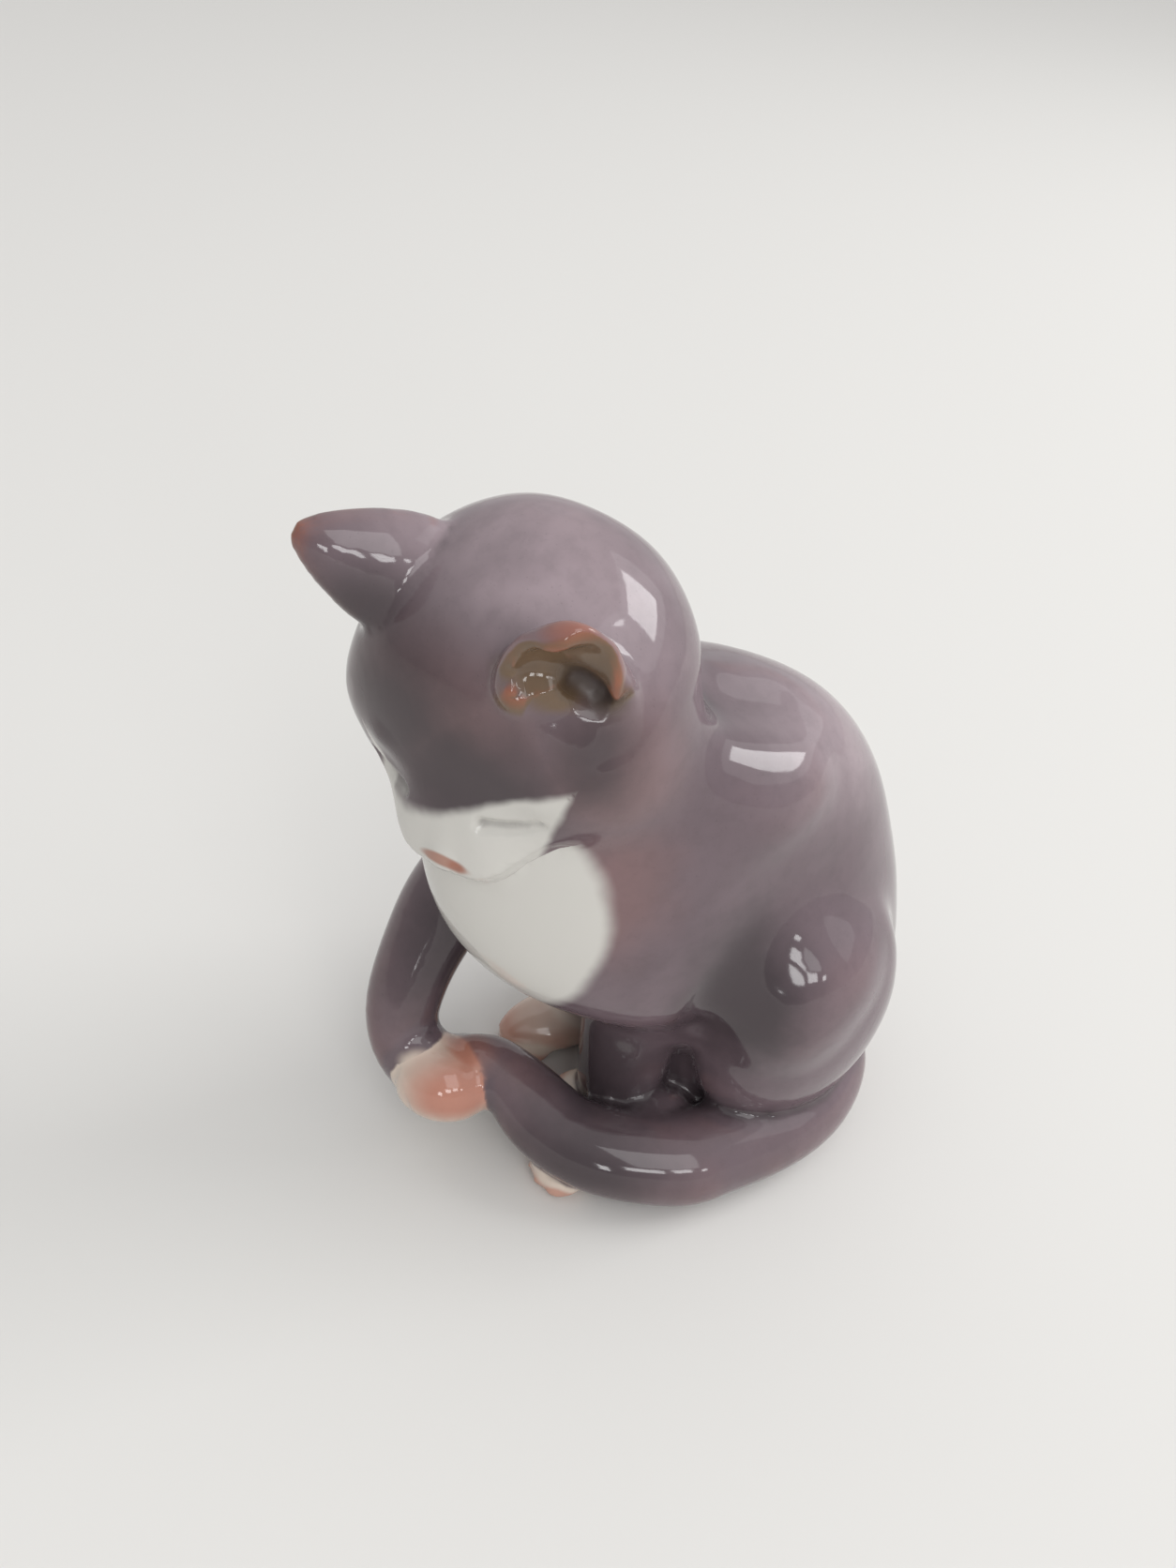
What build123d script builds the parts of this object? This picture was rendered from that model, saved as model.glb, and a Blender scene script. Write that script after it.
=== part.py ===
"""Seated cat in glazed porcelain, cast as separate members that are luted together.

Millimetres. +X is the cat's left, -Y its front and +Z up. The origin is the middle of
the body's foot, on the surface that the cat sits on. The trunk, the skull, the ears and
the limbs are skinned through closed outlines; the haunches and the paws are stretched
balls. Where two members meet, one of them is cut to the other's form, so that they seat
face to face, as clay members do before the firing.
"""

import os
from math import cos, radians, sin

from build123d import *

# --- Driving dimensions ----------------------------------------------------------------
body_height = 96.5
body_width = 49.0
chest_reach = 62.0  # from the origin to the front of the chest
rump_reach = 30.5  # from the origin to the back of the rump
body_lean = 3.0  # how far the shoulders stand to the cat's right
wall = 4.0  # of the two hollow castings
drain_radius = 4.5  # hole in the foot that the slip was poured out of
vent_radius = 2.0  # air passage from the head's hollow to the body's

neck_width = 41.0  # of the swell between the shoulders and the head
neck_length = 41.0
neck_height = 34.0
neck_lift = 84.0  # its middle, over the surface

head_width = 51.0
head_height = 40.0
nose_reach = 31.0  # from the middle of the head to the tip of the nose
head_ahead = 45.5  # the middle of the head, from the origin
head_aside = 5.5  # to the cat's right
head_lift = 1.0  # the middle of the head, over the top of the shoulders
head_yaw = 36.0  # turned to the cat's left
head_pitch = 48.0  # bowed

left_ear_height = 13.5
right_ear_height = 18.2
left_ear_half_width = 9.6
right_ear_half_width = 8.8
ear_half_depth = 5.4
ear_rim = 2.3
scoop_rise = 0.36  # the middle of an ear's scoop, as a share of the ear's height
scoop_height = 1.1  # of the same height
scoop_depth = 2.4  # as a share of the ear's half depth

haunch_width = 26.0
haunch_length = 38.0
haunch_height = 54.0
haunch_tuck = 8.4  # how deep a haunch's middle lies under the body's widest side
haunch_behind = 1.2  # the middle of a haunch, behind the origin
haunch_lift = 30.5  # the middle of a haunch, over the surface
haunch_lean = 9.0  # how far the knee end points forward
haunch_turn = 8.0  # the front end, outwards
hind_foot_width = 13.0
hind_foot_length = 26.0
hind_foot_height = 10.5
instep_width = 14.3
instep_length = 20.8
instep_height = 16.8
toe_count = 4
toe_radius = 2.3
toe_length = 8.4
toe_spread = 0.6  # of the outer toes' middles, as a share of the foot's width
toe_curve = 0.6  # how far the row of toes bends back at its ends

foreleg_radius = 8.6  # of the standing foreleg
forepaw_width = 11.0
forepaw_length = 15.0
forepaw_height = 8.5
arm_radius = 8.0  # of the raised foreleg
arm_paw_width = 15.2
arm_paw_length = 18.6
arm_paw_lift = 14.0  # the middle of the raised paw, over the surface

tail_radius = 8.2
ground_off = 0.2  # off the tail and the toes, where they lie on the surface

# --- Frames and helpers ----------------------------------------------------------------
half_width = body_width / 2


def place(aside, ahead, height):
    """Point by shares of the body's half width and of its reach, with a height in mm."""
    reach = chest_reach if ahead > 0 else rump_reach
    return Vector(aside * half_width, -ahead * reach, height)


def oval(plane, half_across, up, down):
    """Outline of two half ellipses on one width, each with its own reach."""
    with BuildSketch(plane) as outline:
        with BuildLine():
            EllipticalCenterArc((0, 0), half_across, up, arc_size=180)
            EllipticalCenterArc((0, 0), half_across, down, start_angle=180, arc_size=180)
        make_face()
    return outline.sketch


def skin(outlines):
    """One solid through the outlines, in order."""
    with BuildPart() as form:
        loft(sections=outlines)
    return form.part


def ball(frame, size):
    """Ellipsoid of the given full sizes, with its middle and its axes on the frame."""
    with BuildPart() as form:
        Sphere(0.5)
        scale(by=size)
    return form.part.moved(frame.location)


def rod(start, end, radius):
    """Round rod from one point to another."""
    with BuildPart() as form:
        with BuildSketch(Plane(origin=start, z_dir=end - start)):
            Circle(radius)
        extrude(amount=(end - start).length)
    return form.part


def limb(path_points, radii, start_side):
    """Round member along a spline: circles square to it, each with its own radius.

    Every circle starts on the side given, so that the skin doesn't twist.
    """
    with BuildLine() as path:
        Spline(*path_points)
    line = path.line
    rings = []
    for number, radius in enumerate(radii):
        share = number / (len(radii) - 1)
        along = (line % share).normalized()
        side = start_side - along * start_side.dot(along)
        with BuildSketch(Plane(origin=line @ share, x_dir=side, z_dir=along)) as ring:
            Circle(radius)
        rings.append(ring.sketch)
    return skin(rings)


def above_surface(form):
    """The form with what lies under the surface ground away."""
    with BuildPart() as ground:
        add(form)
        split(bisect_by=Plane.XY, keep=Keep.TOP)
    return ground.part


# --- Body form -------------------------------------------------------------------------
# Level outlines from the foot to the shoulders: height, width, front and back, as shares
# of body_height, body_width, chest_reach and rump_reach.
body_shape = [
    (0.00, 0.78, 0.32, 0.66),
    (0.06, 0.89, 0.36, 0.84),
    (0.145, 0.93, 0.385, 0.95),
    (0.23, 0.94, 0.41, 1.00),
    (0.32, 0.96, 0.51, 1.00),
    (0.415, 0.99, 0.76, 0.96),
    (0.52, 0.98, 0.91, 0.87),
    (0.62, 0.95, 0.975, 0.75),
    (0.725, 0.91, 1.00, 0.60),
    (0.82, 0.87, 0.985, 0.40),
    (0.90, 0.76, 0.89, 0.12),
    (0.95, 0.60, 0.76, -0.26),
    (0.978, 0.41, 0.65, -0.56),
    (0.99, 0.18, 0.54, -0.78),
]


def body_outline(row, inset=0.0):
    """One level outline of the body, drawn in by the inset."""
    height, width, front, back = row
    front_y = -front * chest_reach + inset
    back_y = back * rump_reach - inset
    middle = Vector(-body_lean * height, (front_y + back_y) / 2, height * body_height)
    half_across = width * half_width - inset
    half_deep = (back_y - front_y) / 2
    return oval(Plane(origin=middle, x_dir=(1, 0, 0)), half_across, half_deep, half_deep)


neck_form = ball(Plane(place(-0.09, 0.56, neck_lift)), (neck_width, neck_length, neck_height))
with BuildPart() as trunk:
    loft(sections=[body_outline(row) for row in body_shape])
    add(neck_form)
body_form = trunk.part

# --- Head form -------------------------------------------------------------------------
yaw = radians(head_yaw)
pitch = radians(head_pitch)
head_middle = Vector(-head_aside, -head_ahead, body_height + head_lift)
to_left = Vector(cos(yaw), sin(yaw), 0)
to_nose = Vector(sin(yaw) * cos(pitch), -cos(yaw) * cos(pitch), -sin(pitch))
head_plane = Plane(origin=head_middle, x_dir=to_left, z_dir=to_nose)
to_crown = head_plane.y_dir

# Outlines from the back of the skull to the nose: forward, width, up and down, as shares
# of nose_reach, head_width and half of head_height.
head_shape = [
    (-0.74, 0.24, 0.32, 0.25),
    (-0.66, 0.51, 0.62, 0.50),
    (-0.43, 0.81, 0.90, 0.78),
    (-0.16, 0.96, 1.02, 0.95),
    (0.11, 1.00, 1.02, 0.98),
    (0.35, 0.98, 0.87, 0.93),
    (0.53, 0.83, 0.62, 0.82),
    (0.68, 0.59, 0.40, 0.72),
    (0.82, 0.43, 0.24, 0.62),
    (0.935, 0.31, 0.11, 0.47),
    (1.00, 0.16, 0.01, 0.27),
]
head_form = skin(
    [
        oval(
            head_plane.offset(forward * nose_reach),
            width * head_width / 2,
            up * head_height / 2,
            down * head_height / 2,
        )
        for forward, width, up, down in head_shape
    ]
)


def on_head(aside, forward, up):
    """Direction or offset by the head's own axes."""
    return to_left * aside + to_nose * forward + to_crown * up


# --- Ears ------------------------------------------------------------------------------
# Rise, width and depth of an ear's outlines, as shares of its height, half width and depth.
ear_shape = [
    (-0.25, 1.08, 1.10),
    (0.15, 1.00, 1.00),
    (0.45, 0.84, 0.86),
    (0.70, 0.60, 0.66),
    (0.90, 0.34, 0.42),
    (1.00, 0.12, 0.18),
]


def ear_root(aside, forward, up):
    """Point on the skull by shares of half its width, of nose_reach and of half its height."""
    return head_middle + on_head(
        aside * head_width / 2, forward * nose_reach, up * head_height / 2
    )


def scooped_ear(root, point_way, open_way, height, half_width):
    """Ear that stands on root, points along point_way and is scooped out from open_way."""
    axis = point_way.normalized()
    frame = Plane(origin=root, x_dir=open_way.cross(axis), z_dir=axis)
    outlines = []
    for rise, width, depth in ear_shape:
        half_deep = depth * ear_half_depth
        level = frame.offset(rise * height)
        outlines.append(oval(level, width * half_width, half_deep, half_deep))
    scoop_middle = root + axis * scoop_rise * height + frame.y_dir * ear_half_depth
    scoop_size = (2 * (half_width - ear_rim), scoop_depth * ear_half_depth, scoop_height * height)
    with BuildPart() as ear:
        loft(sections=outlines)
        add(ball(Plane(scoop_middle, frame.x_dir, frame.z_dir), scoop_size), mode=Mode.SUBTRACT)
        add(head_form, mode=Mode.SUBTRACT)
    return ear.part


# --- Haunches and hind feet ------------------------------------------------------------
def haunch_form(side):
    """Thigh bulge on one side; side is 1 on the left, -1 on the right."""
    middle = Vector(side * (half_width - haunch_tuck), haunch_behind, haunch_lift)
    return ball(
        Plane(middle).rotated((-haunch_lean, 0, side * haunch_turn)),
        (haunch_width, haunch_length, haunch_height),
    )


def hind_foot_form(aside, ahead):
    """Foot with an instep that rises to the haunch and a row of toes across its front."""
    middle = place(aside, ahead, hind_foot_height / 2 - ground_off)
    instep = middle + Vector(
        0.15 * aside * hind_foot_width, 0.34 * hind_foot_length, 0.2 * hind_foot_height
    )
    with BuildPart() as foot:
        add(ball(Plane(middle), (hind_foot_width, hind_foot_length, hind_foot_height)))
        add(ball(Plane(instep), (instep_width, instep_length, instep_height)))
        for number in range(toe_count):
            across = toe_spread * (number / (toe_count - 1) - 0.5)
            toe = middle + Vector(
                across * hind_foot_width,
                (toe_length - hind_foot_length) / 2 + toe_curve * across**2 * hind_foot_length,
                toe_radius - hind_foot_height / 2,
            )
            add(ball(Plane(toe), (2 * toe_radius, toe_length, 2 * toe_radius)))
    return foot.part


left_haunch_form = haunch_form(1)
right_haunch_form = haunch_form(-1)
left_foot_form = hind_foot_form(0.61, 0.55)
right_foot_form = hind_foot_form(-0.58, 0.47)

# --- Forelegs --------------------------------------------------------------------------
foreleg_foot = place(0.24, 0.41, 0)
foreleg_form = limb(
    [
        place(0.25, 0.39, 0.48 * body_height),
        place(0.27, 0.42, 0.29 * body_height),
        foreleg_foot,
    ],
    [share * foreleg_radius for share in (1.16, 1.10, 1.03, 0.98, 0.93, 0.90)],
    Vector(1, 0, 0),
)
forepaw_middle = foreleg_foot + Vector(
    -0.22 * forepaw_width, -0.45 * forepaw_length, 0.42 * forepaw_height
)
left_paw_form = ball(Plane(forepaw_middle), (forepaw_width, forepaw_length, forepaw_height))

arm_form = limb(
    [
        place(-0.50, 0.55, 0.58 * body_height),
        place(-0.75, 0.78, 0.475 * body_height),
        place(-0.69, 0.90, 0.37 * body_height),
        place(-0.57, 0.975, 0.29 * body_height),
        place(-0.45, 1.01, 0.21 * body_height),
        place(-0.20, 0.955, 1.03 * arm_paw_lift),
    ],
    [share * arm_radius for share in (1.25, 1.20, 1.13, 1.05, 0.97, 0.89, 0.84, 0.80, 0.80)],
    Vector(0, -1, 0),
)
arm_paw_form = ball(
    Plane(place(-0.06, 0.93, arm_paw_lift), x_dir=(0.42, 0.90, -0.10), z_dir=(0.1, 0.06, 1)),
    (arm_paw_length, arm_paw_width, arm_paw_width),
)

# --- Tail, from inside the rump round the cat's left to the raised paw ------------------
lying = tail_radius - ground_off
tail_form = limb(
    [
        place(0.00, -0.52, 0.80 * lying),
        place(0.51, -0.54, 0.88 * lying),
        place(0.81, -0.26, 0.93 * lying),
        place(0.96, 0.03, 0.97 * lying),
        place(1.01, 0.21, lying),
        place(0.98, 0.39, lying),
        place(0.82, 0.53, 1.09 * lying),
        place(0.59, 0.655, 1.28 * lying),
        place(0.34, 0.72, 1.6 * lying),
        place(0.13, 0.77, 1.9 * lying),
        place(-0.05, 0.82, 1.9 * lying),
        place(-0.18, 0.87, 1.7 * lying),
    ],
    [
        share * tail_radius
        for share in (0.75, 0.84, 0.91, 0.96, 1, 1, 1, 1, 1, 0.98, 0.94, 0.88, 0.81, 0.73, 0.65)
    ],
    Vector(0, 0, 1),
)

# --- Hollows of the two castings -------------------------------------------------------
hollow_top = 0.91 * body_height
hollow_rows = [row for row in body_shape if wall <= row[0] * body_height <= hollow_top]
head_clearance = ball(
    head_plane.offset(0.10 * nose_reach),
    (head_width + 2.5 * wall, head_height + 2.5 * wall, 1.74 * nose_reach + 2.5 * wall),
)
with BuildPart() as body_hollow:
    loft(sections=[body_outline(row, wall) for row in hollow_rows])
    add(head_clearance, mode=Mode.SUBTRACT)

head_hollow = ball(
    head_plane.offset(-0.13 * nose_reach),
    (head_width - 2.6 * wall, head_height - 2 * wall, 1.45 * nose_reach - 2 * wall),
)
vent = rod(head_middle, place(-0.1, 0.4, 0.6 * body_height), vent_radius)
drain = rod(place(0, -0.35, 0), place(0, -0.35, 3 * wall), drain_radius)

# --- Members, each cut to the forms that it is luted to ---------------------------------
with BuildPart() as body:
    add(body_form)
    for opening in (head_form, body_hollow.part, drain, vent):
        add(opening, mode=Mode.SUBTRACT)

with BuildPart() as head:
    add(head_form)
    for opening in (head_hollow, vent):
        add(opening, mode=Mode.SUBTRACT)


def luted(form, *seats):
    """Member made from a form, cut to each form that it is pressed onto."""
    with BuildPart() as member:
        add(above_surface(form))
        for seat in seats:
            add(seat, mode=Mode.SUBTRACT)
    return member.part


members = {
    "body": body.part,
    "head": head.part,
    "left_ear": scooped_ear(
        ear_root(0.52, 0.085, 0.73),
        on_head(0.2, -0.35, 0.9),
        on_head(0.4, 0.9, 0),
        left_ear_height,
        left_ear_half_width,
    ),
    "right_ear": scooped_ear(
        ear_root(-0.56, -0.13, 0.65),
        on_head(-0.62, 0.08, 0.78),
        on_head(-0.98, -0.19, 0),
        right_ear_height,
        right_ear_half_width,
    ),
    "left_haunch": luted(left_haunch_form, body_form),
    "right_haunch": luted(right_haunch_form, body_form),
    "left_foreleg": luted(foreleg_form, body_form, left_haunch_form),
    "left_forepaw": luted(left_paw_form, foreleg_form, body_form),
    "left_hind_foot": luted(
        left_foot_form, body_form, left_haunch_form, foreleg_form, left_paw_form
    ),
    "right_hind_foot": luted(right_foot_form, body_form, right_haunch_form),
    "right_foreleg": luted(arm_form, body_form, head_form),
    "right_forepaw": luted(arm_paw_form, arm_form),
    "tail": luted(
        tail_form, body_form, left_haunch_form, left_foot_form, foreleg_form, arm_paw_form
    ),
}

os.makedirs("parts", exist_ok=True)
for name, member in members.items():
    member.label = name
    export_step(member, f"parts/{name}.step")
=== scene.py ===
"""Glazed skin, colours and studio for a seated porcelain cat."""

from math import cos, pi, radians, sin

import bpy
import numpy as np
from mathutils import Matrix, Vector
from mathutils.bvhtree import BVHTree


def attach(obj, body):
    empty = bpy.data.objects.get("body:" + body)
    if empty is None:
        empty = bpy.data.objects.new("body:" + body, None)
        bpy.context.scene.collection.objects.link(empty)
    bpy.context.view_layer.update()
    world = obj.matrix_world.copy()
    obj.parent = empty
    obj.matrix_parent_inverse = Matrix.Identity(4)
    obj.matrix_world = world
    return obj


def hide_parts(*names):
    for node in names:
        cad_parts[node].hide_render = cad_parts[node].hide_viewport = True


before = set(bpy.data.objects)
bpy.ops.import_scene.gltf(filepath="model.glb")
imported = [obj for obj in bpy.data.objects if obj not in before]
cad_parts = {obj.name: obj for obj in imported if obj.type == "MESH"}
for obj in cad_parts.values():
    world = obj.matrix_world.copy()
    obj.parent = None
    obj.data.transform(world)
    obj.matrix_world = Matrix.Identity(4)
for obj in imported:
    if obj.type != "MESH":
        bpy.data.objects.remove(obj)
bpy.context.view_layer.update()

bl_info = {
    "name": "Seated porcelain cat",
    "version": (1, 0, 0),
    "blender": (4, 5, 0),
    "location": "View3D > Sidebar > Cat",
    "description": "Models and glazes the porcelain cat and sets up a small studio",
    "category": "Object",
}

MM = 0.001
SKIN = "glazed_cat"

# The stop in the drain, in mm.
DRAIN_STOP_PLACE = (0, 10.7, 6)
DRAIN_STOP_RADIUS = 5.2
DRAIN_STOP_DEPTH = 6

# The foot stays flat, in mm: smoothing starts at its edge and is full at the end of the band,
# and the trunk's blends start at its top.
FOOT_EDGE = 0.4
FOOT_BAND = 1.5
FOOT_TOP = 1

# Masks of the skin, and the members that each takes in.
MEMBERS = {
    "paw": ["right_forepaw"],
    "feet": ["left_hind_foot", "right_hind_foot", "left_forepaw"],
    "ears": ["left_ear", "right_ear"],
    "limbs": ["right_foreleg", "left_foreleg", "tail", "right_forepaw"],
    "head": ["head", "left_ear", "right_ear"],
}

# The head's own axes: to the cat's left, along the nose and up through the crown.
HEAD_YAW = radians(36)
HEAD_PITCH = radians(48)
HEAD_MIDDLE = np.array((-5.5, -45.5, 97.5))
TO_LEFT = np.array((cos(HEAD_YAW), sin(HEAD_YAW), 0))
TO_NOSE = np.array((sin(HEAD_YAW) * cos(HEAD_PITCH), -cos(HEAD_YAW) * cos(HEAD_PITCH), -sin(HEAD_PITCH)))
TO_CROWN = np.cross(TO_NOSE, TO_LEFT)


def on_head(left, forward, up):
    """Place in millimetres of a point given by the head's own axes."""
    return HEAD_MIDDLE + TO_LEFT * left + TO_NOSE * forward + TO_CROWN * up


def head_way(left, forward, up):
    """Direction of length 1 given by the head's own axes."""
    way = TO_LEFT * left + TO_NOSE * forward + TO_CROWN * up
    return way / np.linalg.norm(way)


# The ears: where they stand on the head, which way they point, and how high they are.
EAR_ROOT_LEFT = TO_LEFT * 13.3 + TO_NOSE * 2.6 + TO_CROWN * 14.6
EAR_WAY_LEFT = head_way(0.2, -0.35, 0.9)
EAR_HEIGHT_LEFT = 15.5
EAR_ROOT_RIGHT = TO_LEFT * -14.3 + TO_NOSE * -4 + TO_CROWN * 13
EAR_WAY_RIGHT = head_way(-0.62, 0.08, 0.78)
EAR_HEIGHT_RIGHT = 20.5


# --- Settings -------------------------------------------------------------------------
def colour(name, description, default):
    """Colour that a user can change."""
    return bpy.props.FloatVectorProperty(
        name=name, description=description, default=default, size=3, min=0, max=1, subtype="COLOR"
    )


def length(name, description, millimetres):
    """Length that a user can change."""
    return bpy.props.FloatProperty(
        name=name, description=description, default=millimetres * MM, min=0, unit="LENGTH", precision=5
    )


class CatForm(bpy.types.PropertyGroup):
    grain: length("Grain", "Mesh size of the skin", 0.78)
    eye_depth: length("Eye depth", "Depth of the crease of a closed eye", 1.0)
    mouth_depth: length("Mouth depth", "Depth of the line of the mouth", 0.5)
    toe_depth: length("Toe depth", "Depth of the grooves between the raised paw's toes", 0.5)


class CatGlaze(bpy.types.PropertyGroup):
    grey: colour("Grey", "Mauve-grey glaze", (0.152, 0.110, 0.126))
    # Painted sheen: this pale grey stands for a bright reflection on the crown and the back.
    pale: colour("Pale grey", "Grey glaze where it lies thin and even", (0.360, 0.285, 0.310))
    # This dark grey serves both for glaze that pools and for painted shade.
    deep_and_shade: colour("Deep grey", "Grey glaze where it pools", (0.048, 0.036, 0.041))
    warm: colour("Warm brown", "Grey glaze where it runs thin", (0.250, 0.130, 0.120))
    white: colour("White", "Clear glaze over white porcelain", (0.58, 0.565, 0.53))
    cream: colour("Cream", "Clear glaze over the paws", (0.64, 0.54, 0.46))
    pink: colour("Pink", "Pink tint of the paws", (0.44, 0.175, 0.120))
    rim: colour("Ear rim", "Orange-red at the edge of an ear", (0.31, 0.100, 0.055))
    inner_ear: colour("Inner ear", "Brown inside an ear", (0.145, 0.092, 0.055))
    # Painted shade: this dark brown stands for the shade in an ear's hollow.
    ear_shade: colour("Ear depth", "Dark brown deep in an ear", (0.060, 0.040, 0.026))
    nose: colour("Nose", "Brownish pink of the nose", (0.34, 0.15, 0.10))
    bare: colour("Bare clay", "Unglazed foot", (0.62, 0.57, 0.50))
    gloss: bpy.props.FloatProperty(
        name="Roughness",
        description="Roughness of the clear glaze",
        default=0.06,
        min=0,
        max=1,
        subtype="FACTOR",
    )


class CatStudio(bpy.types.PropertyGroup):
    floor: colour("Floor", "Pale floor", (0.69, 0.68, 0.66))
    light: bpy.props.FloatProperty(
        name="Light", description="Strength of all the lamps", default=1.0, min=0
    )
    world: bpy.props.FloatProperty(
        name="World", description="Strength of the surrounding light", default=1.0, min=0
    )


# --- Modelling helpers ----------------------------------------------------------------
# Vertex groups take weights in this many steps. A face is divided where they are over the least.
WEIGHT_STEPS = 60
LEAST_WEIGHT = 0.02


def metres(place):
    """Millimetres turned into metres."""
    return [share * MM for share in place]


def pick_only(obj):
    """Makes the object the only one selected, and active."""
    bpy.ops.object.select_all(action="DESELECT")
    obj.select_set(True)
    bpy.context.view_layer.objects.active = obj


def of_vertices(obj, name):
    """One row of three numbers for each vertex: "co" is its place and "normal" its way out."""
    rows = np.empty(len(obj.data.vertices) * 3)
    obj.data.vertices.foreach_get(name, rows)
    return rows.reshape(-1, 3)


def points_of(obj):
    """Vertex places in millimetres."""
    return of_vertices(obj, "co") / MM


def move_points(obj, points):
    """Puts the vertices at places in millimetres."""
    obj.data.vertices.foreach_set("co", (points * MM).ravel())
    obj.data.update()


def falling(share_of_reach):
    """Weight that is 1 at no distance and falls smoothly to 0 at the whole reach."""
    share = np.clip(1 - share_of_reach, 0, 1)
    return share * share * (3 - 2 * share)


def near(points, middle, reach):
    """Weight that is 1 at the middle and falls smoothly to 0 at the reach."""
    return falling(np.linalg.norm((points - np.asarray(middle, float)) / reach, axis=1))


def along(points, path, reach):
    """Weight that is 1 on a path, or at its one point, and falls smoothly to 0 at the reach."""
    if len(path) == 1:
        return near(points, path[0], reach)
    nearest = np.full(len(points), np.inf)
    for start, end in zip(path, path[1:]):
        start = np.asarray(start, float)
        run = np.asarray(end, float) - start
        share = np.clip((points - start) @ run / (run @ run), 0, 1)
        nearest = np.minimum(nearest, np.linalg.norm(points - start - share[:, None] * run, axis=1))
    return falling(nearest / reach)


def widened(weights, times):
    """The weights times a number and held to 1, so that more of the middle is at 1."""
    return np.clip(times * weights, 0, 1)


def add_group(obj, weights):
    """Makes a vertex group that holds the weights, and gives its name."""
    group = obj.vertex_groups.new(name="touch")
    steps = np.round(weights * WEIGHT_STEPS).astype(int)
    for step in range(1, WEIGHT_STEPS + 1):
        members = np.flatnonzero(steps == step)
        if len(members):
            group.add(members.tolist(), step / WEIGHT_STEPS, "REPLACE")
    return group.name


def swell(obj, weights, height):
    """Moves the surface out by the height in millimetres, or in where it is negative."""
    pick_only(obj)
    group = add_group(obj, weights)
    displace = obj.modifiers.new("swell", "DISPLACE")
    displace.strength = height * MM
    displace.mid_level = 0
    displace.vertex_group = group
    bpy.ops.object.modifier_apply(modifier="swell")
    obj.vertex_groups.clear()


def soften(obj, weights, turns):
    """Smooths the surface by the weights."""
    pick_only(obj)
    group = add_group(obj, weights)
    smooth = obj.modifiers.new("soften", "SMOOTH")
    smooth.factor = 0.5
    smooth.iterations = turns
    smooth.vertex_group = group
    bpy.ops.object.modifier_apply(modifier="soften")
    obj.vertex_groups.clear()


def neighbours(obj):
    """Pairs of vertices that share an edge."""
    edges = np.empty(len(obj.data.edges) * 2, int)
    obj.data.edges.foreach_get("vertices", edges)
    return edges.reshape(-1, 2)


def spread(values, edges, turns):
    """Mean of each vertex's values and its neighbours', over and over."""
    count = np.bincount(edges.ravel(), minlength=len(values)) + 1.0
    for _ in range(turns):
        total = values.copy()
        for column in range(values.shape[1]):
            total[:, column] += np.bincount(edges[:, 0], values[edges[:, 1], column], len(values))
            total[:, column] += np.bincount(edges[:, 1], values[edges[:, 0], column], len(values))
        values = total / count[:, None]
    return values


def work(obj, path, reach, height):
    """Raises or presses in the surface along a path, or round its one point."""
    swell(obj, along(points_of(obj), path, reach), height)


def calm(obj, path, reach, turns, times=1):
    """Smooths the surface along a path, or round its one point, with widened weights."""
    soften(obj, widened(along(points_of(obj), path, reach), times), turns)


def grab(obj, path, reach, shift):
    """Draws the surface near a path, or near its one point, along by a shift in millimetres."""
    points = points_of(obj)
    weights = along(points, path, reach)
    move_points(obj, points + weights[:, None] * shift)


def fair(obj, weights, turns):
    """Evens the surface out without shrinking it: each turn draws in and lets out again."""
    points = points_of(obj)
    edges = neighbours(obj)
    draw_in, let_out = 0.5, -0.52
    for _ in range(turns):
        for share in (draw_in, let_out):
            points = points + share * weights[:, None] * (spread(points, edges, 1) - points)
    move_points(obj, points)


def refine(obj, weights):
    """Divides the faces whose corners all carry weight, for finer work."""
    pick_only(obj)
    bpy.ops.object.mode_set(mode="EDIT")
    bpy.ops.mesh.select_all(action="DESELECT")
    bpy.ops.mesh.select_mode(type="VERT")
    bpy.ops.object.mode_set(mode="OBJECT")
    obj.data.vertices.foreach_set("select", weights > LEAST_WEIGHT)
    bpy.ops.object.mode_set(mode="EDIT")
    bpy.ops.mesh.select_mode(type="FACE")
    bpy.ops.mesh.subdivide(number_cuts=1, smoothness=0)
    bpy.ops.object.mode_set(mode="OBJECT")


# --- The skin -------------------------------------------------------------------------
def head_path(side, *places):
    """Path given by the head's own axes, on the cat's left, or mirrored where side is -1."""
    return [on_head(side * left, forward, up) for left, forward, up in places]


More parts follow.
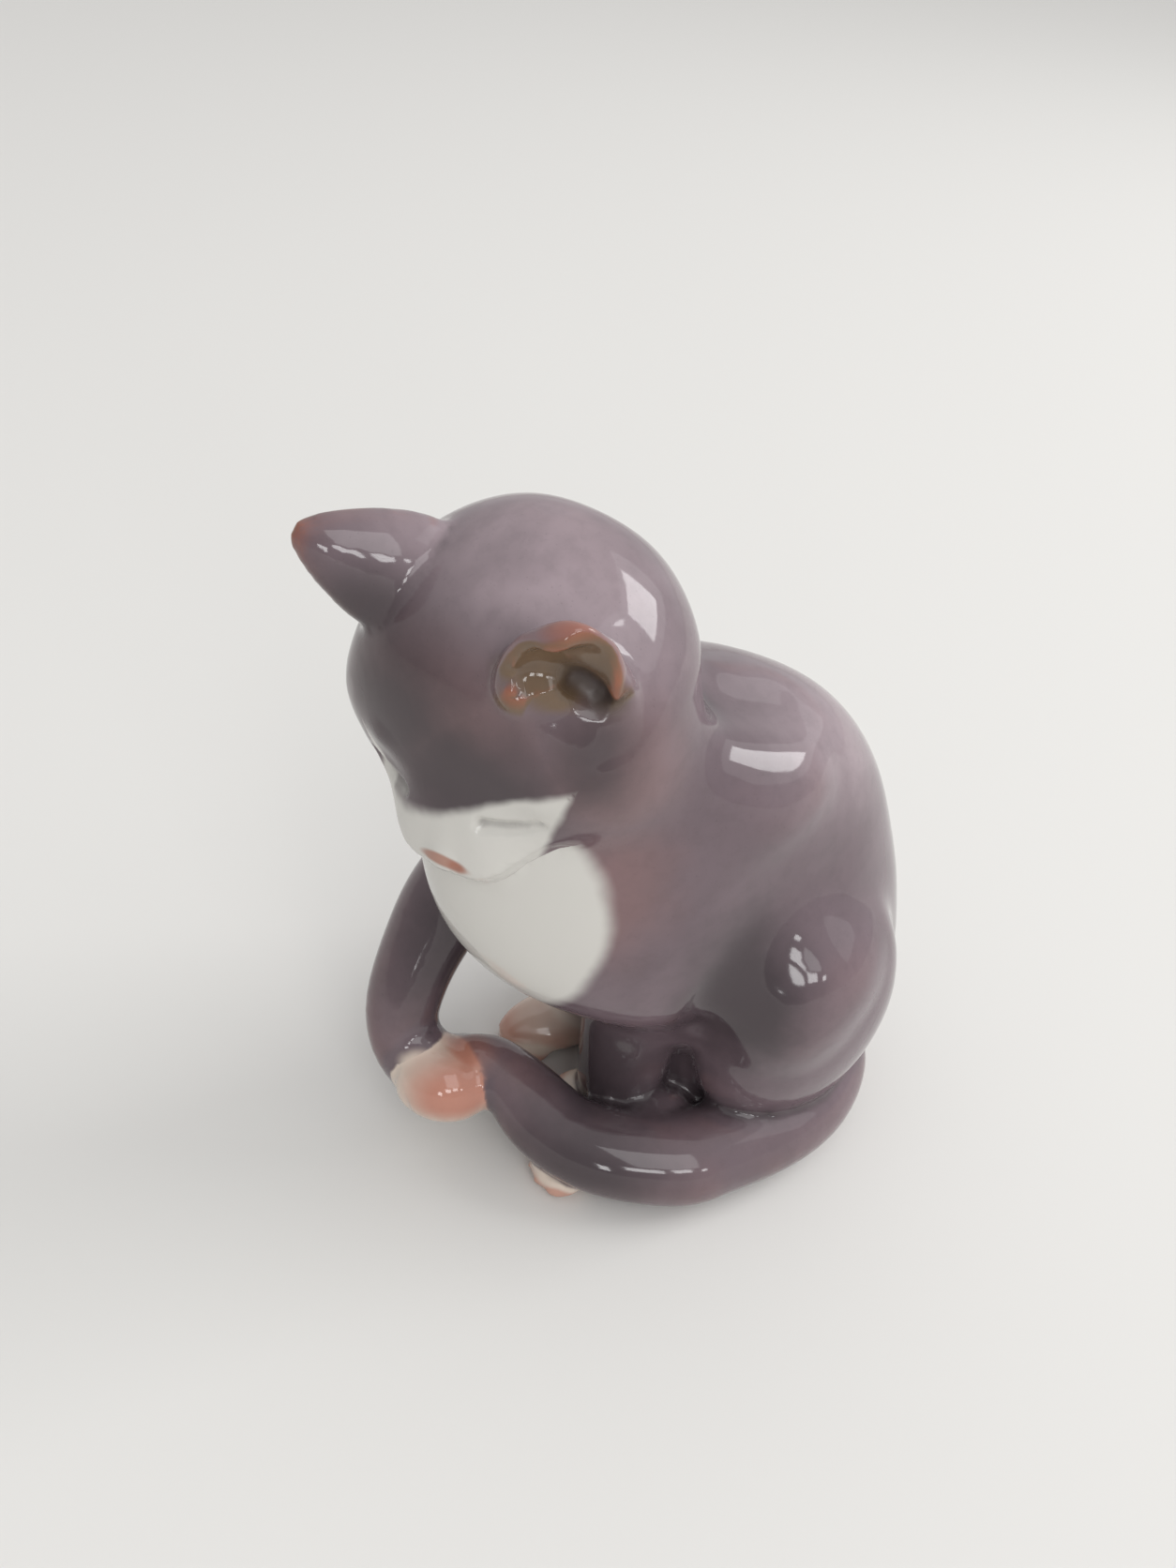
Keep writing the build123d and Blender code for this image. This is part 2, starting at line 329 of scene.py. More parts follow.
class CAT_OT_skin(bpy.types.Operator):
    """Join copies of the members under one glazed skin"""

    bl_idname = "cat.skin"
    bl_label = "Skin"

    def execute(self, context):
        bpy.ops.object.select_all(action="DESELECT")
        copies = []
        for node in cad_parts.values():
            copy = node.copy()
            copy.data = node.data.copy()
            copy.parent = None
            context.scene.collection.objects.link(copy)
            copy.select_set(True)
            copies.append(copy)
        context.view_layer.objects.active = copies[0]
        bpy.ops.object.join()
        skin = context.view_layer.objects.active
        skin.name = SKIN
        skin.data.name = SKIN
        # What the frame says about the first member isn't true of the skin.
        for key in list(skin.keys()):
            del skin[key]
        bpy.ops.object.mode_set(mode="EDIT")
        bpy.ops.mesh.select_all(action="SELECT")
        bpy.ops.mesh.remove_doubles(threshold=0.001 * MM)
        bpy.ops.mesh.select_all(action="DESELECT")
        # The drain is stopped 3 mm up, so the hollows inside close.
        bpy.ops.mesh.primitive_cylinder_add(
            radius=DRAIN_STOP_RADIUS * MM,
            depth=DRAIN_STOP_DEPTH * MM,
            location=metres(DRAIN_STOP_PLACE),
        )
        bpy.ops.object.mode_set(mode="OBJECT")
        remesh = skin.modifiers.new("one skin", "REMESH")
        remesh.mode = "VOXEL"
        remesh.voxel_size = context.scene.cat_form.grain
        bpy.ops.object.modifier_apply(modifier="one skin")
        above_foot = np.clip((points_of(skin)[:, 2] - FOOT_EDGE) / FOOT_BAND, 0, 1)
        soften(skin, above_foot, turns=3)
        fair(skin, above_foot, turns=60)
        return {"FINISHED"}


# Paths over the trunk, in mm. The joins of the members, each with how far its blend reaches:
JOINS = [
    ([(-24, -28, 90), (-14, -20, 96), (0, -15, 95), (12, -20, 88), (20, -30, 78)], 13),
    ([(5, -24, 97), (13, -28, 95), (16, -32, 93), (19, -36, 91), (20, -40, 89)], 9),
    ([(22, -17, 40), (24, -10, 50), (24, 0, 54), (21, 12, 52), (16, 20, 42)], 13),
    ([(-24, -17, 36), (-26, -10, 46), (-26, 0, 50), (-22, 12, 48), (-17, 20, 38)], 13),
    ([(-13, -38, 64), (-16, -46, 60), (-14, -52, 50)], 14),
    ([(0, -26, 36), (10, -28, 36), (20, -18, 34)], 13),
]
# The neck's fold on the cat's left, the thigh below it, and the shoulder blade.
NECK_FOLD = [(11, -26, 95.5), (16, -31.5, 93), (19, -36, 91), (20, -41, 89), (18.5, -44.5, 86.5)]
THIGH_TOP = [(25, -8, 43), (24.5, -3.5, 49)]
THIGH_HOLLOW = [(19, -13, 68), (21, -19, 60), (21.6, -23, 50), (20, -23, 38)]
THIGH_FOLD = [(21.5, -21, 38), (21.6, -20, 46), (21.4, -16, 56), (20, -9, 62), (18, -1, 64)]
THIGH = [(25, -10, 44), (24.5, -6, 52), (22, -2, 60)]
BLADE_LOW = [(16, -20, 87), (18, -15, 81), (16, -9, 83)]
BLADE_HIGH = [(5, -20, 94.5), (4.5, -9, 91.5)]
BLADE_GROOVE = [(-1, -17, 94), (4.4, -12.9, 92.1), (8.2, -8.5, 89.4), (12.9, -6.5, 83.7), (16, -6, 76)]
BLADE = [(12, -14, 88)]
FLANK = [(17, -20, 84), (20, -20, 72), (21.5, -18, 60), (22, -12, 60), (20, -4, 66)]


class CAT_OT_trunk(bpy.types.Operator):
    """Blend the haunches, the legs and the neck into the trunk"""

    bl_idname = "cat.trunk"
    bl_label = "Trunk"

    def execute(self, context):
        skin = bpy.data.objects[SKIN]
        points = points_of(skin)
        blends = widened(np.max([along(points, path, reach) for path, reach in JOINS], axis=0), times=1.6)
        blends[points[:, 2] < FOOT_TOP] = 0
        soften(skin, blends, turns=120)
        # The neck runs into the shoulder on the cat's left.
        work(skin, NECK_FOLD, reach=6, height=1.6)
        calm(skin, NECK_FOLD, reach=8, turns=400, times=1.5)
        # The top of the thigh, and the hollow and the fold in front of it.
        work(skin, THIGH_TOP, reach=16, height=4.4)
        work(skin, THIGH_HOLLOW, reach=11, height=-1.0)
        work(skin, THIGH_FOLD, reach=7, height=-1.5)
        calm(skin, THIGH, reach=17, turns=200, times=1.4)
        # The shoulder blade and the groove beside it.
        work(skin, BLADE_LOW, reach=11, height=2.2)
        work(skin, BLADE_HIGH, reach=9, height=-2.2)
        work(skin, BLADE_GROOVE, reach=4, height=-0.3)
        calm(skin, BLADE, reach=19, turns=160, times=1.3)
        calm(skin, FLANK, reach=15, turns=100, times=1.3)
        above_foot = np.clip(points_of(skin)[:, 2] - FOOT_TOP, 0, 1)
        fair(skin, above_foot, turns=20)
        return {"FINISHED"}


# Paths over the left half and the middle of the face, by the head's own axes. The right half
# mirrors them.
SOCKET = [(11, 22, 5.5)]
LID = [(5.8, 22.8, 5.6), (8.6, 21.6, 4.6), (11, 20.4, 4.0), (12.8, 19.3, 4.1)]
BROW = [(8, 22.5, 9.5), (13, 19, 9.5)]
CHEEK = [(6, 27, -3.5)]
MOUTH = [(0, 30, -2.2), (2.4, 29, -4.2), (6, 26, -5.0), (9, 23, -4.4)]
NOSTRIL = [(1.2, 30.5, -0.6), (2.6, 30, 0.5)]
NOSE_END = [(0, 31, 1.2)]
NOSE_BRIDGE = [(0, 27, 7), (0, 30, 3)]
# The right lid lies further out and lower than a mirrored one.
RIGHT_LID_OUT = TO_LEFT * -2.4
RIGHT_LID_DOWN = TO_CROWN * -1.4


class CAT_OT_face(bpy.types.Operator):
    """Press in the closed eyes and shape the brow, the nose and the mouth"""

    bl_idname = "cat.face"
    bl_label = "Face"

    def execute(self, context):
        form = context.scene.cat_form
        skin = bpy.data.objects[SKIN]
        refine(skin, near(points_of(skin), on_head(1, 25, 0), reach=22))
        for side in (1, -1):
            lid = head_path(side, *LID)
            if side < 0:
                lid = [place + RIGHT_LID_OUT + RIGHT_LID_DOWN for place in lid]
            work(skin, head_path(side, *SOCKET), reach=8, height=-0.8)
            work(skin, lid, reach=1.9, height=-form.eye_depth / MM)
            work(skin, head_path(side, *BROW), reach=4.5, height=0.6)
            work(skin, head_path(side, *CHEEK), reach=6, height=0.7)
            work(skin, head_path(side, *MOUTH), reach=1.2, height=-form.mouth_depth / MM)
            work(skin, head_path(side, *NOSTRIL), reach=0.9, height=-0.4)
        work(skin, head_path(1, *NOSE_END), reach=4.2, height=0.6)
        work(skin, head_path(1, *NOSE_BRIDGE), reach=3.6, height=0.5)
        return {"FINISHED"}


# Paths over the left ear, by the head's own axes.
EAR_TOP = [(10, -2, 22), (18, -4, 22)]
EAR_OUTER_END = [(22, 0, 15)]
RIM_FRONT = [(9.5, 7, 22), (10, 5, 23.5), (11.8, 2.3, 26.4)]
RIM_BACK = [(18.5, -1.6, 26.8), (20, -1.4, 24)]
RIM = [*RIM_FRONT, (14, 0, 28), (16, -2, 28), *RIM_BACK]
RIM_TOP = [(12, 1, 28), (15, -1.5, 29.5), (19, -2, 27)]
RIM_FOOT = [(9, 9, 17.5), (12.5, 9, 16.2), (16, 7.6, 14.5), (20.5, 4.5, 12.6)]
EAR_FOLD = [(9.5, 5, 19.5), (12, 2.8, 18.5)]
EAR_SCOOP = [(15, 0.8, 17.6), (17, 1, 16), (19.2, 1, 14.2)]
SCOOP_EDGE = [(16, 1.5, 17)]


class CAT_OT_ears(bpy.types.Operator):
    """Raise and roll the left ear's rim, scoop it out and even out both ears"""

    bl_idname = "cat.ears"
    bl_label = "Ears"

    def execute(self, context):
        skin = bpy.data.objects[SKIN]
        points = points_of(skin)
        left_ear = near(points, on_head(15, 0, 20), reach=14)
        right_ear = near(points, on_head(-20.5, -3, 21.5), reach=13)
        refine(skin, np.maximum(left_ear, right_ear))
        # The left ear stands a little higher, and its outer end comes in.
        grab(skin, head_path(1, *EAR_TOP), reach=10, shift=TO_CROWN * 2.6)
        grab(skin, head_path(1, *EAR_OUTER_END), reach=8, shift=TO_LEFT * -1.2 + TO_CROWN * 0.8)
        grab(skin, head_path(1, *RIM), reach=7, shift=np.array((-0.8, 0.3, 1.0)))
        for part in (RIM_FRONT, RIM_BACK):
            grab(skin, head_path(1, *part), reach=5, shift=np.array((-0.9, 0.3, 1.2)))
        calm(skin, head_path(1, *RIM_TOP), reach=5, turns=40)
        # The ends of its rim run out into the skull.
        calm(skin, head_path(1, *RIM_FOOT), reach=5.5, turns=300, times=1.9)
        # Inside it a fold bulges in front, and behind the fold the scoop goes deep.
        work(skin, head_path(1, *EAR_FOLD), reach=4.5, height=2.0)
        work(skin, head_path(1, *EAR_SCOOP), reach=3.6, height=-1.3)
        calm(skin, head_path(1, *SCOOP_EDGE), reach=7, turns=12)
        points = points_of(skin)
        left_ear = near(points, on_head(15, 0, 19), reach=15)
        right_ear = near(points, on_head(-19, -3, 22), reach=18)
        fair(skin, np.maximum(left_ear, right_ear), turns=16)
        return {"FINISHED"}


# Paths between the toes of the raised paw, in mm.
TOE_GROOVES = (
    [(-3.5, -66, 20), (-3.5, -67.5, 15), (-2.5, -66.5, 10.5)],
    [(0.8, -66, 21), (1.2, -67, 16), (1.5, -65.5, 10.5)],
    [(5.2, -63, 20.5), (6.2, -63, 16), (5.6, -62, 11)],
)


class CAT_OT_toes(bpy.types.Operator):
    """Groove the toes of the raised paw"""

    bl_idname = "cat.toes"
    bl_label = "Toes"

    def execute(self, context):
        skin = bpy.data.objects[SKIN]
        depth = context.scene.cat_form.toe_depth / MM
        refine(skin, near(points_of(skin), (2, -62, 16), reach=11))
        for path in TOE_GROOVES:
            work(skin, path, reach=1.5, height=-depth)
        return {"FINISHED"}


# --- What the glaze does over the surface ---------------------------------------------
# Measures of relief: turns of smoothing, and the height in mm over the smoothed skin that counts
# as 1. The "edge" measure finds rims and creases, the "form" measure broad rises and hollows.
RELIEF = {"edge": (8, 0.35), "form": (60, 1.6)}

# The edge of the white face, in mm by the head's own axes. Over the brow it rises to both sides
# of its lowest point, up to a highest level. The cheeks' edges spread as they rise. The white
# starts this far in front of the head's middle.
BROW_LOW = (-10.4, 2.7)
BROW_SLOPES = (0.31, -0.8)
BROW_TOP = 9.6
CHEEK_WIDTH = 13.5
CHEEK_SLOPE = 0.4
FACE_START = 8

# The ways that the ears' insides face, the left one more to the front.
LEFT_SCOOP_WAY = TO_LEFT * 0.4 + TO_NOSE * 0.9
RIGHT_SCOOP_WAY = -TO_LEFT


def keep_attribute(obj, name, values):
    """Keeps a number for each vertex, for the glaze to read."""
    obj.data.attributes.new(name, "FLOAT", "POINT").data.foreach_set("value", values.astype(np.float32))


def nearest_members(obj):
    """For each vertex, the number of the frame's node that lies nearest."""
    corners = []
    faces = []
    owners = []
    for owner, node in enumerate(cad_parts.values()):
        first = len(corners)
        corners.extend(vertex.co.copy() for vertex in node.data.vertices)
        for face in node.data.polygons:
            faces.append([first + corner for corner in face.vertices])
            owners.append(owner)
    tree = BVHTree.FromPolygons(corners, faces)
    return np.array([owners[tree.find_nearest(vertex.co)[2]] for vertex in obj.data.vertices])


def face_line(left, forward, up):
    """How far inside the edge of the white face a place by the head's own axes lies, in mm."""
    out, low = BROW_LOW
    slope = np.where(left > out, *BROW_SLOPES)
    brow = np.minimum(low + slope * (left - out), BROW_TOP) - up
    cheek = CHEEK_WIDTH + CHEEK_SLOPE * up - np.abs(left)
    return np.minimum(np.minimum(brow, cheek), forward - FACE_START)


class CAT_OT_measure(bpy.types.Operator):
    """Measure the skin's relief, its members, the edge of the white face and the ears"""

    bl_idname = "cat.measure"
    bl_label = "Measure"

    def execute(self, context):
        skin = bpy.data.objects[SKIN]
        points = points_of(skin)
        normals = of_vertices(skin, "normal")
        edges = neighbours(skin)
        for name, (turns, reach) in RELIEF.items():
            height = ((points - spread(points, edges, turns)) * normals).sum(axis=1)
            keep_attribute(skin, name, np.clip(height / reach, -1, 1))
        nearest = nearest_members(skin)
        names = list(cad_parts)
        for name, members in MEMBERS.items():
            mask = np.isin(nearest, [names.index(member) for member in members]).astype(float)
            keep_attribute(skin, name, spread(mask[:, None], edges, turns=4)[:, 0])
        from_head = points - HEAD_MIDDLE
        axes = (TO_LEFT, TO_NOSE, TO_CROWN)
        keep_attribute(skin, "face line", face_line(*(from_head @ axis for axis in axes)))
        rise = np.maximum(
            (from_head - EAR_ROOT_LEFT) @ EAR_WAY_LEFT / EAR_HEIGHT_LEFT,
            (from_head - EAR_ROOT_RIGHT) @ EAR_WAY_RIGHT / EAR_HEIGHT_RIGHT,
        )
        keep_attribute(skin, "rise", rise)
        on_left = points @ TO_LEFT > HEAD_MIDDLE @ TO_LEFT
        faces_scoop = np.where(on_left, normals @ LEFT_SCOOP_WAY, normals @ RIGHT_SCOOP_WAY)
        inside = np.maximum(faces_scoop, 0)
        keep_attribute(skin, "inside", spread(inside[:, None], edges, turns=2)[:, 0])
        return {"FINISHED"}


# --- Glaze ----------------------------------------------------------------------------
# Waves per metre along the edges of the zones.
WAVER_SCALE = 160

# In mm over the floor, where the glaze begins and where the clay is wholly bare.
GLAZE_FROM = 0.55
BARE_TO = 0.3
BARE_ROUGHNESS = 0.8


def feed(tree, value, socket):
    """Links a socket to another one, or gives it a plain value."""
    if isinstance(value, bpy.types.NodeSocket):
        tree.links.new(value, socket)
    else:
        socket.default_value = value


def maths(tree, operation, *values, clamp=False):
    """Math node on sockets or numbers."""
    node = tree.nodes.new("ShaderNodeMath")
    node.operation = operation
    node.use_clamp = clamp
    for socket, value in zip(node.inputs, values):
        feed(tree, value, socket)
    return node.outputs[0]


def between(tree, value, low, high):
    """0 where the value is low, 1 where it is high, with a smooth run between."""
    node = tree.nodes.new("ShaderNodeMapRange")
    node.interpolation_type = "SMOOTHSTEP"
    feed(tree, value, node.inputs["Value"])
    feed(tree, low, node.inputs["From Min"])
    feed(tree, high, node.inputs["From Max"])
    return node.outputs[0]


def cloud(tree, place, scale, detail=2.0, roughness=0.5, warp=0.0):
    """Noise over the surface, its scale in waves per metre."""
    node = tree.nodes.new("ShaderNodeTexNoise")
    node.inputs["Scale"].default_value = scale
    node.inputs["Detail"].default_value = detail
    node.inputs["Roughness"].default_value = roughness
    node.inputs["Distortion"].default_value = warp
    tree.links.new(place, node.inputs["Vector"])
    return node.outputs["Fac"]


def zone_group():
    """Group that masks a soft-edged ellipsoid zone, whose edge wavers with a noise."""
    group = bpy.data.node_groups.new("soft zone", "ShaderNodeTree")
    for name, kind in (
        ("Place", "NodeSocketVector"),
        ("Centre", "NodeSocketVector"),
        ("Turn", "NodeSocketVector"),
        ("Reach", "NodeSocketVector"),
        ("Softness", "NodeSocketFloat"),
        ("Waver", "NodeSocketFloat"),
    ):
        group.interface.new_socket(name=name, in_out="INPUT", socket_type=kind)
    group.interface.new_socket(name="Mask", in_out="OUTPUT", socket_type="NodeSocketFloat")
    given = group.nodes.new("NodeGroupInput")
    result = group.nodes.new("NodeGroupOutput")
    mapping = group.nodes.new("ShaderNodeMapping")
    mapping.vector_type = "TEXTURE"
    for source, target in (
        ("Place", "Vector"),
        ("Centre", "Location"),
        ("Turn", "Rotation"),
        ("Reach", "Scale"),
    ):
        group.links.new(given.outputs[source], mapping.inputs[target])
    distance = group.nodes.new("ShaderNodeVectorMath")
    distance.operation = "LENGTH"
    group.links.new(mapping.outputs[0], distance.inputs[0])
    waver = maths(group, "SUBTRACT", cloud(group, given.outputs["Place"], WAVER_SCALE), 0.5)
    reach = maths(group, "MULTIPLY_ADD", waver, given.outputs["Waver"], distance.outputs["Value"])
    outer = maths(group, "ADD", 1.0, given.outputs["Softness"])
    inner = maths(group, "SUBTRACT", 1.0, given.outputs["Softness"])
    group.links.new(between(group, reach, outer, inner), result.inputs["Mask"])
    return group


HEAD_TURN = Matrix((TO_LEFT, TO_NOSE, TO_CROWN)).transposed().to_euler()
UPRIGHT = (0, 0, 0)

# Zones of colour: middle in mm, turn, reach in mm, softness and waver.
# The white bib, the nose, and its redder left side.
BIB = [((2, -60, 64), UPRIGHT, (24, 27, 27), 0.06, 0.05)]
NOSE = [(on_head(0.7, 29.9, 1.7), HEAD_TURN, (3.6, 3.6, 0.7), 0.3, 0.4)]
NOSE_TIP = [(on_head(2.9, 30, 1.1), HEAD_TURN, (1.2, 2, 0.7), 0.5, 0.2)]
# Painted shade and dark reflections on the grey glaze where it faces dark surroundings, a painted sheen of
# bright reflections, and where the glaze turns reddish.
PAINTED_SHADE = [
    (on_head(3, 19, 12), HEAD_TURN, (17, 11, 9), 0.7, 0.6),
    (on_head(-9, 14, 14), HEAD_TURN, (12, 14, 12), 0.8, 0.6),
    (on_head(18, 8, 9), HEAD_TURN, (6, 8, 7), 0.8, 0.6),
    (on_head(-19, 1, 17), HEAD_TURN, (8, 6, 6), 0.7, 0.4),
    ((24, -17, 46), UPRIGHT, (12, 10, 17), 0.55, 0.6),
    ((18, -40, 12), UPRIGHT, (20, 12, 7), 0.7, 0.6),
    ((10, -32, 22), UPRIGHT, (9, 9, 14), 0.7, 0.6),
    ((-9, -54, 40), UPRIGHT, (9, 12, 16), 0.8, 0.6),
]
PAINTED_SHEEN = [
    (on_head(4, -10, 18), HEAD_TURN, (21, 16, 12), 0.7, 0.5),
    ((4, 4, 86), UPRIGHT, (14, 16, 12), 0.8, 0.5),
]
REDDISH = [
    (on_head(-4, 12, 14), HEAD_TURN, (16, 12, 9), 0.7, 0.5),
    (on_head(22, 10, 8), HEAD_TURN, (9, 10, 9), 0.8, 0.5),
    ((17, -40, 72), UPRIGHT, (7, 8, 12), 0.8, 0.6),
]
# The left ear's scoop, and the painted shade in its hollow under the rim.
SCOOP = [(on_head(13.4, 3.0, 19.3), HEAD_TURN, (7.2, 6, 3.0), 0.4, 0.2)]
SCOOP_SHADE = [
    (on_head(15.4, 0.4, 18.2), HEAD_TURN, (3.2, 4, 2.6), 0.7, 0.2),
    (on_head(18.2, 0.8, 15.9), HEAD_TURN, (2.8, 4, 2.4), 0.7, 0.2),
]
# Pink on the raised paw, and on the end of the tail beside it.
PAW_PINK = [
    ((4.5, -58, 17.5), UPRIGHT, (7.5, 8, 6), 0.5, 0.3),
    ((-1, -53.5, 21), UPRIGHT, (5, 4, 5), 0.5, 0.3),
]
TAIL_TIP = [((-1, -53.5, 21), UPRIGHT, (4.5, 3.5, 5), 0.6, 0.3)]
# Cream on the end and the back of the raised paw, and on the other paws.
PAW_END = [((2, -60, 16), UPRIGHT, (13.5, 13, 13), 0.12, 0.1)]
WRIST = [((1, -64, 19.5), UPRIGHT, (5, 5, 4.6), 0.25, 0.2)]
TOES = [
    ((15.5, -40, 3), UPRIGHT, (11, 11, 10), 0.25, 0.2),
    ((-14, -34, 3), UPRIGHT, (11, 11, 10), 0.25, 0.2),
    ((4, -35, 3), UPRIGHT, (9, 9, 8), 0.25, 0.2),
]


class GlazeNodes:
    """The glaze's node tree, with short ways to make masks and colours in it."""

    def __init__(self, tree):
        self.tree = tree
        self.place = tree.nodes.new("ShaderNodeTexCoord").outputs["Object"]
        self.zone = zone_group()
        self.edge = self.measured("edge")
        self.mottle = self.cloud(420, detail=4, roughness=0.6)

    def measured(self, name):
        """What the measure step kept on the skin."""
        node = self.tree.nodes.new("ShaderNodeAttribute")
        node.attribute_name = name
        return node.outputs["Fac"]

    def cloud(self, scale, **character):
        """Noise over the surface, its scale in waves per metre."""
        return cloud(self.tree, self.place, scale, **character)

    def maths(self, operation, *values, clamp=False):
        """Math node on sockets or numbers."""
        return maths(self.tree, operation, *values, clamp=clamp)

    def times(self, first, second):
        """A mask held to another one, or to a share of itself."""
        return self.maths("MULTIPLY", first, second)

    def most(self, first, second):
        """The larger of two masks."""
        return self.maths("MAXIMUM", first, second)

    def run(self, value, low, high, strength=None):
        """Mask from 0 at the low value to 1, or to its strength, at the high value."""
        mask = between(self.tree, value, low, high)
        return mask if strength is None else self.times(mask, strength)

    def zones(self, specs, strength=None):
        """The largest of the masks of some zones, or a share of it."""
        result = None
        for centre, turn, reach, softness, waver in specs:
            node = self.tree.nodes.new("ShaderNodeGroup")
            node.node_tree = self.zone
            self.tree.links.new(self.place, node.inputs["Place"])
            node.inputs["Centre"].default_value = metres(centre)
            node.inputs["Turn"].default_value = tuple(turn)
            node.inputs["Reach"].default_value = metres(reach)
            node.inputs["Softness"].default_value = softness
            node.inputs["Waver"].default_value = waver
            mask = node.outputs["Mask"]
            result = mask if result is None else self.most(result, mask)
        return result if strength is None else self.times(result, strength)

    def blend(self, mask, under, over):
        """Lays one colour over another by a mask; a colour is a socket or three numbers."""
        node = self.tree.nodes.new("ShaderNodeMix")
        node.data_type = "RGBA"
        self.tree.links.new(mask, node.inputs["Factor"])
        colours = [socket for socket in node.inputs if socket.type == "RGBA"]
        for socket, value in zip(colours, (under, over)):
            feed(self.tree, value if isinstance(value, bpy.types.NodeSocket) else (*value, 1), socket)
        return next(socket for socket in node.outputs if socket.type == "RGBA")


def grey_glaze(nodes, glaze):
    """Grey: darker where the glaze pools or lies thick, warm where it runs thin, lightened by a painted
    sheen and darkened by painted shade.
    """
    patches = nodes.cloud(38, detail=3, roughness=0.55, warp=0.6)
    pools = nodes.run(nodes.measured("form"), 0.0, -0.9, strength=0.8)
    thick = nodes.maths("ADD", nodes.run(patches, 0.35, 0.7, strength=0.28), pools, clamp=True)
    thin = nodes.most(nodes.run(nodes.edge, 0.12, 0.9, strength=0.85), nodes.zones(REDDISH, strength=0.45))
    specks = nodes.cloud(2600, detail=1, roughness=0.4)
    # Painted sheen: the crown and the back lighten as if they reflect a bright room.
    result = nodes.blend(nodes.zones(PAINTED_SHEEN, strength=0.8), glaze.grey, glaze.pale)
    result = nodes.blend(thick, result, glaze.deep_and_shade)
    result = nodes.blend(thin, result, glaze.warm)
    result = nodes.blend(nodes.run(nodes.mottle, 0.42, 0.72, strength=0.10), result, glaze.deep_and_shade)
    result = nodes.blend(nodes.run(specks, 0.70, 0.78, strength=0.18), result, glaze.deep_and_shade)
    # Painted shade: the grey darkens where the surface faces dark surroundings.
    return nodes.blend(nodes.zones(PAINTED_SHADE, strength=0.92), result, glaze.deep_and_shade)


def ear_glaze(nodes, glaze, under):
    """Ears: brown in the scoop with painted shade in its hollow, orange-red on the rim."""
    ears = nodes.measured("ears")
    rise = nodes.measured("rise")
    inside = nodes.times(nodes.run(nodes.measured("inside"), 0.25, 0.6), nodes.run(ears, 0.7, 1.0))
    inside = nodes.times(nodes.most(inside, nodes.zones(SCOOP)), nodes.run(rise, 0.03, 0.15))
    crest = nodes.times(nodes.run(nodes.edge, 0.06, 0.55), nodes.run(rise, 0.1, 0.4))
    rim = nodes.most(nodes.run(rise, 0.80, 1.02, strength=0.8), crest)
    rim = nodes.times(nodes.times(rim, nodes.run(ears, 0.5, 0.95)), 0.95)
    result = nodes.blend(inside, under, glaze.inner_ear)
    # Painted shade in the hollow of the left ear's scoop.
    result = nodes.blend(nodes.zones(SCOOP_SHADE, strength=0.85), result, glaze.ear_shade)
    return nodes.blend(rim, result, glaze.rim)


def white_glaze(nodes, glaze, under):
    """White face and bib, with the nose."""
    head = nodes.run(nodes.measured("head"), 0.4, 0.6)
    not_limbs = nodes.run(nodes.measured("limbs"), 0.6, 0.4)
    bib = nodes.times(nodes.times(nodes.zones(BIB), not_limbs), nodes.maths("SUBTRACT", 1.0, head))
    waver = nodes.maths("SUBTRACT", nodes.cloud(170), 0.5)
    line = nodes.maths("MULTIPLY_ADD", waver, 1.3, nodes.measured("face line"))
    face = nodes.times(nodes.run(line, -0.9, 0.7), head)
    result = nodes.blend(nodes.most(bib, face), under, glaze.white)
    result = nodes.blend(nodes.zones(NOSE, strength=0.85), result, glaze.nose)
    return nodes.blend(nodes.zones(NOSE_TIP, strength=0.6), result, glaze.rim)


def paw_glaze(nodes, glaze, under):
    """Paws: cream, tinged pink on top of the raised one and along the edges of the others' toes."""
    paw = nodes.times(nodes.run(nodes.measured("paw"), 0.02, 0.4), nodes.zones(PAW_END))
    paw = nodes.most(paw, nodes.zones(WRIST))
    toes = nodes.times(nodes.run(nodes.measured("feet"), 0.2, 0.8), nodes.zones(TOES))
    toe_edges = nodes.times(nodes.times(nodes.run(nodes.edge, 0.1, 0.8), toes), 0.7)
    pink = nodes.most(nodes.zones(PAW_PINK, strength=0.9), toe_edges)
    skin_tone = nodes.blend(pink, glaze.cream, glaze.pink)
    return nodes.blend(nodes.most(paw, toes), under, skin_tone)


